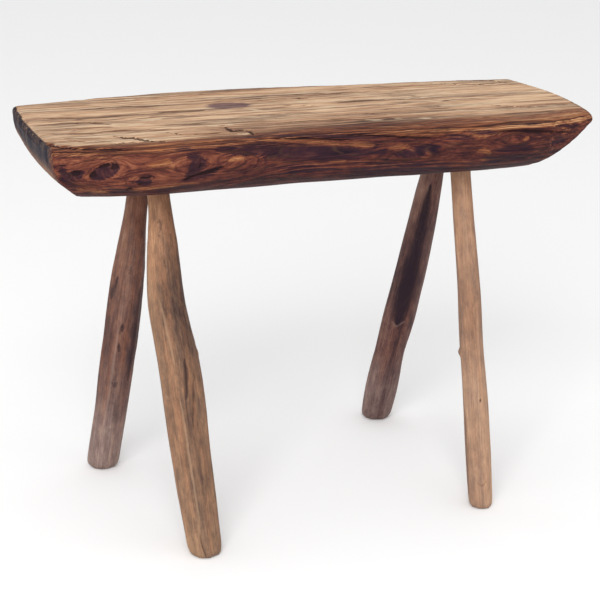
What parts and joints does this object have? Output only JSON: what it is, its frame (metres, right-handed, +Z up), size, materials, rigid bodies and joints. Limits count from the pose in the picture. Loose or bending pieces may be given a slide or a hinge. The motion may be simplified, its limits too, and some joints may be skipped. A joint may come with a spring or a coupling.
{
  "type": "milking stool",
  "caption": "Long primitive milking stool: a split-log seat with cut-back ends on splayed shaved legs, each tenoned into a blind socket underneath.",
  "frame": {"origin": "middle of the outline on the floor, between the four feet", "axes": "+X along the seat towards the end with the longer cut-back, -Y towards the front, +Z up"},
  "size_m": [0.6272, 0.3166, 0.442],
  "materials": {
    "seat_wood": "weathered open grain, greyed on top and rust brown on the sides",
    "leg_wood_tan": "knife-shaved, worn smooth, orange tan with grey brown flats",
    "leg_wood_pale": "knife-shaved, worn smooth, pale tan",
    "leg_wood_brown": "knife-shaved, weathered mid brown with dark checks",
    "leg_wood_dark": "knife-shaved, dark brown with a purple black stain"
  },
  "bodies": {
    "root": {"seat": "seat_wood", "leg_front_left": "leg_wood_tan", "leg_front_right": "leg_wood_pale", "leg_back_left": "leg_wood_brown", "leg_back_right": "leg_wood_dark"}
  },
  "joints": []
}
